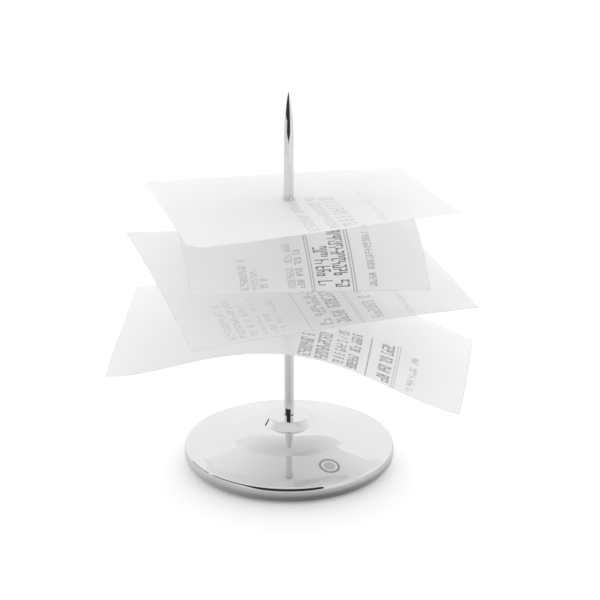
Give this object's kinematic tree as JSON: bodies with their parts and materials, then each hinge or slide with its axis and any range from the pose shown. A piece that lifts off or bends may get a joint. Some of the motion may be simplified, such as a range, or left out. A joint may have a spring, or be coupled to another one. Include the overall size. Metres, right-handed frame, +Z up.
{
  "type": "bill spike",
  "caption": "Counter-top bill spike: a sharp upright rod on a weighted, stepped round base, with till receipts pierced on it.",
  "frame": {"origin": "middle of the foot pad's underside, on the rod's axis, at the height of the counter", "axes": "+Z up along the rod towards its tip, -Y towards the viewer of the picture, +X to the viewer's right"},
  "size_m": [0.1561, 0.1219, 0.1672],
  "materials": {
    "chrome": "mirror polished chrome plate",
    "cast_iron": "as cast, black",
    "zinc_steel": "bright zinc plated",
    "pad": "matt black foam rubber",
    "paper": "smooth, thin thermal paper, grey print"
  },
  "bodies": {
    "stand": {"base_shell": "chrome", "spike_rod": "chrome", "ballast": "cast_iron", "closing_plate": "zinc_steel", "foot_pad": "pad", "spike_washer": "zinc_steel", "lock_washer": "zinc_steel", "spike_nut": "zinc_steel"},
    "lowest_sheet": {"lowest_receipt": "paper"},
    "second_sheet": {"second_receipt": "paper"},
    "third_sheet": {"third_receipt": "paper"},
    "top_sheet": {"top_receipt": "paper"}
  },
  "joints": [
    {"name": "lowest_slide", "type": "slide", "parent": "stand", "child": "lowest_sheet", "axis": [0, 0, 1], "range_m": [-0.0425, 0.047]},
    {"name": "second_slide", "type": "slide", "parent": "lowest_sheet", "child": "second_sheet", "axis": [0, 0, 1], "range_m": [-0.0098, 0.047]},
    {"name": "third_slide", "type": "slide", "parent": "second_sheet", "child": "third_sheet", "axis": [0, 0, 1], "range_m": [-0.0059, 0.047]},
    {"name": "top_slide", "type": "slide", "parent": "third_sheet", "child": "top_sheet", "axis": [0, 0, 1], "range_m": [-0.0075, 0.047]}
  ]
}
